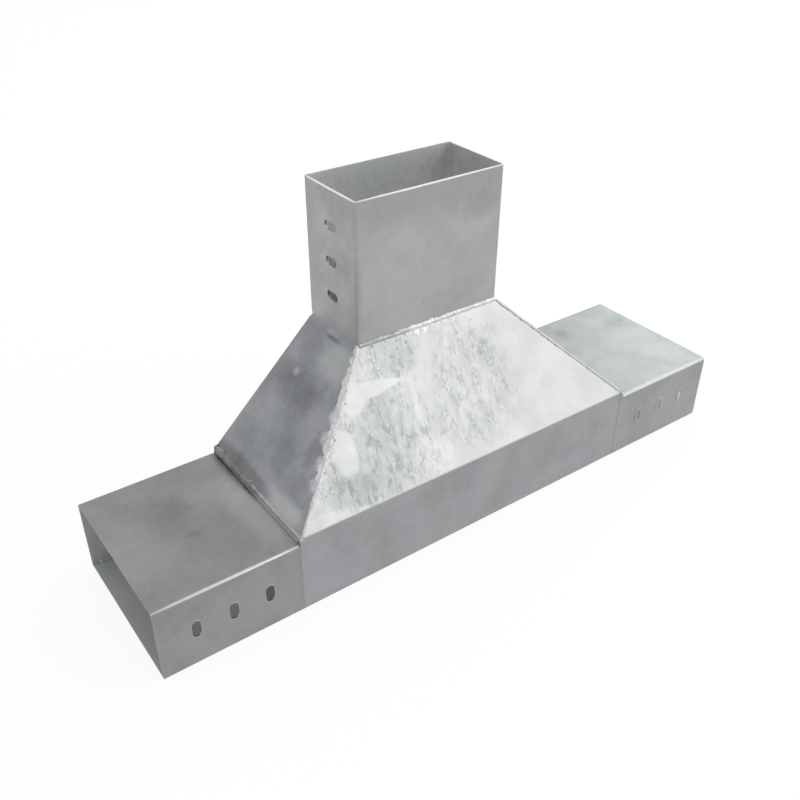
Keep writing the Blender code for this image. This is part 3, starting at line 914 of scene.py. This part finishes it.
def weldPiece(nodeName, chains, finish, material, outward=None):
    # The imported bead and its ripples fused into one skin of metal, pressed in where it was laid flat
    piece = copyOfNode(nodeName, nodeName + "_bead")
    middle = sum((vertex.co for vertex in piece.data.vertices), Vector()) / len(piece.data.vertices)
    joinInto(piece, chains)
    fuse = piece.modifiers.new("Fuse", "REMESH")
    fuse.mode = "VOXEL"
    fuse.voxel_size = finish["voxelMm"] / 1000
    settle = piece.modifiers.new("Settle", "SMOOTH")
    settle.factor = 0.5
    settle.iterations = finish["smoothing"]
    roughen(piece, finish["lumps"])
    applyModifiers(piece)
    # Crumbs that the fusing left beside the bead go
    bpy.ops.object.mode_set(mode="EDIT")
    bpy.ops.mesh.select_all(action="DESELECT")
    bpy.ops.object.mode_set(mode="OBJECT")
    min(piece.data.vertices, key=lambda vertex: (vertex.co - middle).length).select = True
    bpy.ops.object.mode_set(mode="EDIT")
    bpy.ops.mesh.select_linked()
    bpy.ops.mesh.select_all(action="INVERT")
    bpy.ops.mesh.delete(type="VERT")
    bpy.ops.object.mode_set(mode="OBJECT")
    if "sinks" in finish:
        for vertex in piece.data.vertices:
            vertex.co -= outward * sizeAt(finish["sinks"], vertex.co.x * 1000) / 1000
    bpy.ops.object.shade_smooth()
    piece.data.materials.clear()
    piece.data.materials.append(material)
    keepPiece(piece, nodeName)
    return piece


def mirrored(joint):
    return {key: Vector((-value.x, value.y, value.z)) for key, value in joint.items()}


hoodPlaces = {
    # The hood's outer faces, left side, in mm: ends of the hip, and how far the slopes rise and run
    "hipFoot": (-245, -102, 100),
    "hipHead": (-102, 2, 237.5),
    "rise": 137.5,
    "frontRun": 104,
    "endRun": 143,
}

frontNormal = Vector((0, -hoodPlaces["rise"], hoodPlaces["frontRun"])).normalized()
endNormal = Vector((-hoodPlaces["rise"], 0, hoodPlaces["endRun"])).normalized()
draw = random.Random(41)

hipWeld = {
    # Thin and even in the lowest third, then blobs of metal that spill onto the sloping end
    "ripple": {"pitchMm": 3.0, "domeMm": (4.6, 5.2, 1.8), "lean": 0.5, "uneven": 0.3, "strayMm": 0.4,
               "asideMm": -0.6, "sizes": ((0, 0.75), (0.3, 0.6), (0.42, 1.0), (1, 0.9))},
    "blobs": {"pitchMm": 9.0, "domeMm": (6.5, 12, 1.5), "lean": 0.1, "uneven": 0.55, "strayMm": 1.2,
              "asideMm": -2.0, "sizes": ((0, 0.15), (0.26, 0.2), (0.34, 1.0), (0.75, 1.0), (1, 0.5))},
    "voxelMm": 0.5,
    "smoothing": 3,
    "lumps": ((6.0, 0.8), (1.8, 0.4)),
}

flatHipWeld = {
    # The right one was laid flatter and took more zinc
    "ripple": {"pitchMm": 2.4, "domeMm": (7.0, 5.2, 0.9), "lean": 0.1, "uneven": 0.15, "strayMm": 0.2,
               "sizes": ((0, 0.8), (1, 0.9))},
    "voxelMm": 0.5,
    "smoothing": 4,
    "lumps": ((6.0, 0.3),),
    "sinks": ((102, 0.5), (245, 0.5)),  # x and how far it is pressed in there, both in mm
}

hipFoot, hipHead = mm(*hoodPlaces["hipFoot"]), mm(*hoodPlaces["hipHead"])
hipJoint = {
    "start": hipFoot,
    "end": hipHead,
    "outward": (frontNormal + endNormal).normalized(),
}
hipChains = [layDomes("hip_" + part, hipJoint, hipWeld[part], draw) for part in ("ripple", "blobs")]
weldPiece("left_hip_weld", hipChains, hipWeld, brightWeldSteel)
weldPiece("right_hip_weld", [layDomes("hip_ripples", mirrored(hipJoint), flatHipWeld["ripple"], draw)],
          flatHipWeld, pooledSteel, mirrored(hipJoint)["outward"])
print("hips welded")

riserWeld = {
    # Rough in its middle, where metal spilled onto the slope, and nearly flat at both ends
    "ripple": {"pitchMm": 3.1, "domeMm": (6.6, 5.4, 1.8), "lean": 0.4, "liftMm": 0.3, "uneven": 0.4,
               "strayMm": 1.0,
               "sizes": ((0, 0.3), (0.2, 0.4), (0.3, 1.2), (0.62, 1.2), (0.72, 0.4), (1, 0.3))},
    "wash": {"pitchMm": 3.4, "domeMm": (12, 10, 1.4), "lean": 0.1, "uneven": 0.5, "strayMm": 1.8,
             "asideMm": 2.2, "sizes": ((0, 0.75), (0.2, 0.8), (0.3, 1.1), (0.6, 1.1), (0.72, 0.7), (1, 0.5))},
    "corner": {"pitchMm": 1.5, "domeMm": (5.0, 4.4, 2.6), "lean": 0.1, "uneven": 0.1, "strayMm": 0.2,
               "sizes": ((0, 1), (1, 1))},
    "voxelMm": 0.5,
    "smoothing": 6,
    "lumps": ((5.0, 0.9), (1.8, 0.3)),
    "sinks": ((-103, 0.5), (-97, 0.8), (-54, 0.8), (-44, 0.4), (30, 0.4), (42, 1.0), (97, 1.0), (103, 0.5)),
    # In mm: the ends of the bead, and of the fill in the left corner
    "ends": ((-101, 2, 237.5), (101, 2, 237.5)),
    "fill": ((-102.5, 2.4, 237.3), (-98.5, 1.8, 237.3)),
}

riserStart, riserEnd = [mm(*place) for place in riserWeld["ends"]]
fillStart, fillEnd = [mm(*place) for place in riserWeld["fill"]]
riserJoint = {"start": riserStart, "end": riserEnd, "outward": (frontNormal - backward).normalized()}
slopeEdge = {**riserJoint, "outward": frontNormal}  # the zinc that washed down from it onto the slope
cornerFill = {**riserJoint, "start": fillStart, "end": fillEnd}
riserChains = [
    layDomes("riser_ripples", riserJoint, riserWeld["ripple"], draw),
    layDomes("riser_wash", slopeEdge, riserWeld["wash"], draw),
    layDomes("left_corner", cornerFill, riserWeld["corner"], draw),
    layDomes("right_corner", mirrored(cornerFill), riserWeld["corner"], draw),
]
weldPiece("riser_front_weld", riserChains, riserWeld, riserWeldSteel, riserJoint["outward"])
print("riser welded")

footWeld = {
    # Welded along its back half. In front of that only a thread of zinc lies in the groove
    "ripple": {"pitchMm": 2.6, "domeMm": (5.6, 5.6, 2.2), "lean": 0.5, "liftMm": 0.6, "uneven": 0.3,
               "strayMm": 0.6, "sizes": ((0, 0.4), (0.46, 0.4), (0.52, 1.15), (1, 1.3))},
    "thread": {"pitchMm": 1.5, "domeMm": (3.4, 4.4, 2.0), "lean": 0.1, "liftMm": 0.1, "uneven": 0.12,
               "strayMm": 0.15, "sizes": ((0, 1), (1, 1))},
    "voxelMm": 0.5,
    "smoothing": 3,
    "lumps": ((4.0, 0.8), (1.7, 0.3)),
    "ends": ((-245, -97, 100), (-245, 94.8, 100)),  # the left one, in mm
}

footStart, footEnd = [mm(*place) for place in footWeld["ends"]]
footJoint = {"start": footStart, "end": footEnd, "outward": (endNormal + upward).normalized()}
for side, joint in (("left", footJoint), ("right", mirrored(footJoint))):
    chains = [layDomes("foot_" + part, joint, footWeld[part], draw) for part in ("ripple", "thread")]
    weldPiece(side + "_foot_weld", chains, footWeld, pooledSteel)
print("feet of the hood welded")

baseWeld = {
    "ripple": {"pitchMm": 6.5, "domeMm": (5.4, 11, 2.6), "lean": 0.4, "liftMm": 1.6, "uneven": 0.15,
               "strayMm": 0.3, "sizes": ((0, 1), (1, 1))},
    "voxelMm": 0.7,
    "smoothing": 3,
    "lumps": ((5.0, 0.7),),
    # In mm: the inner face of the side walls, the plate's top and half the bead's length
    "wallY": 100,
    "plateTop": 2,
    "halfLength": 403,
}

for name, wall in (("base_front_weld", -1), ("base_back_weld", 1)):
    start, end = [mm(half * baseWeld["halfLength"], wall * baseWeld["wallY"], baseWeld["plateTop"])
                  for half in (-1, 1)]
    joint = {"start": start, "end": end, "outward": (-wall * backward + upward).normalized()}
    weldPiece(name, [layDomes("base_ripples", joint, baseWeld["ripple"], draw)], baseWeld, pooledSteel)
print("base welded")

seamWeld = {
    # Ground nearly flush, so only a low soft strip shows, with a small lump at the lip's corner
    "strip": {"pitchMm": 2.2, "domeMm": (6.4, 5.0, 1.5), "lean": 0.1, "uneven": 0.15, "strayMm": 0.15,
              "sizes": ((0, 1), (1, 1))},
    "tack": {"pitchMm": 2.2, "domeMm": (5.0, 4.6, 2.4), "lean": 0.2, "uneven": 0.1, "strayMm": 0.2,
             "sizes": ((0, 1), (1, 1.6))},
    "voxelMm": 0.45,
    "smoothing": 2,
    "lumps": ((3.0, 0.3),),
    # In mm: the left seam, its foot and its top, and the lump's end at the lip
    "seamX": -245.1,
    "wallY": 102,
    "seamZ": (3, 93),
    "lumpY": 99.144,
    "lumpZ": 100.3,
    "lumpLean": {"out": 0.8, "up": 0.6, "aside": 0.3},
}

for name, wall in (("front", -1), ("back", 1)):
    x, y = seamWeld["seamX"], wall * seamWeld["wallY"]
    foot, top = [mm(x, y, z) for z in seamWeld["seamZ"]]
    lip = mm(x, wall * seamWeld["lumpY"], seamWeld["lumpZ"])
    lean = seamWeld["lumpLean"]
    seamJoint = {"start": foot, "end": top, "outward": wall * backward}
    leaning = wall * backward * lean["out"] + upward * lean["up"] - rightward * lean["aside"]
    tackJoint = {"start": top, "end": lip, "outward": leaning.normalized()}
    for side, place in (("left", dict), ("right", mirrored)):
        chains = [layDomes("seam_strip", place(seamJoint), seamWeld["strip"], draw),
                  layDomes("corner_tack", place(tackJoint), seamWeld["tack"], draw)]
        weldPiece(side + "_" + name + "_seam_weld", chains, seamWeld, frontWallSteel)
print("seams welded")

cornerWeld = {
    # Ground flush outside. Their roots show inside as a low pale thread
    "thread": {"pitchMm": 3.0, "domeMm": (3.6, 5.0, 1.8), "lean": 0.2, "uneven": 0.2, "strayMm": 0.2,
               "sizes": ((0, 1), (1, 1))},
    "voxelMm": 0.5,
    "smoothing": 2,
    "lumps": ((3.0, 0.2),),
    "insideFrom": 0.3,  # how far a face looks inward before it counts as inside
}

cornerJoints = {
    "hood_back_weld": {"start": mm(-242, 99.6, 100.1), "end": mm(-100, 99.6, 236.6)},
    "riser_back_weld": {"start": mm(-99.6, 99.6, 238), "end": mm(-99.6, 99.6, 405)},
}
for name, ends in cornerJoints.items():
    joint = {**ends, "outward": (rightward - backward).normalized()}
    for side, place in (("left", dict), ("right", mirrored)):
        inward = place(joint)["outward"]
        chains = [layDomes("corner_root", place(joint), cornerWeld["thread"], draw)]
        bead = weldPiece(side + "_" + name, chains, cornerWeld, quietWeldSteel)
        bead.data.materials.append(insideSteel)
        for face in bead.data.polygons:
            face.material_index = 1 if face.normal.dot(inward) > cornerWeld["insideFrom"] else 0
print("back corners welded")


# ---- zinc drops ----

zincDrops = {
    # Spatter and drops of zinc beside the welds, flat and a millimetre or two across. A field runs
    # between two places on a sloping sheet, in mm along its foot and up the slope from the hip's
    # foot, and spreads to one side
    "drop": {"domeMm": (2.2, 2.6, 0.5), "lean": 0.2},
    "uneven": (0.4, 1.2),
    "crowding": 1.5,  # above 1, more of them lie close to the weld
    "fields": (
        {"sheet": "front", "start": (8, 10), "end": (140, 165), "spread": (26, 0), "count": 4},
        {"sheet": "front", "start": (150, 168), "end": (335, 168), "spread": (0, -24), "count": 8},
        {"sheet": "end", "start": (10, 14), "end": (96, 182), "spread": (36, 0), "count": 14},
    ),
}

sheetAxes = {
    # Along the sheet's foot, up its slope, and out of its face
    "front": (rightward, Vector((0, hoodPlaces["frontRun"], hoodPlaces["rise"])).normalized(), frontNormal),
    "end": (backward, Vector((hoodPlaces["endRun"], 0, hoodPlaces["rise"])).normalized(), endNormal),
}

drops = []
for field in zincDrops["fields"]:
    along, up, outward = sheetAxes[field["sheet"]]
    turn = Matrix((up.cross(outward), up, outward)).transposed().to_4x4()
    for drop in range(field["count"]):
        share, aside = draw.random(), draw.random() ** zincDrops["crowding"]
        across, climb = [first + (last - first) * share + wide * aside
                         for first, last, wide in zip(field["start"], field["end"], field["spread"])]
        size = draw.uniform(*zincDrops["uneven"])
        drop = makeDome("zinc_drop", zincDrops["drop"])
        drop.matrix_world = (Matrix.Translation(hipFoot + along * across / 1000 + up * climb / 1000)
                             @ turn @ Matrix.Diagonal((size, size, size, 1)))
        drops.append(drop)
zinc = joinInto(drops[0], drops[1:])
zinc.name = "zinc_drops"
zinc.data.name = "zinc_drops"
bpy.ops.object.transform_apply(location=True, rotation=True, scale=True)
bpy.ops.object.shade_smooth()
zinc.data.materials.append(quietWeldSteel)
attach(zinc, "root")
print("zinc drops laid")
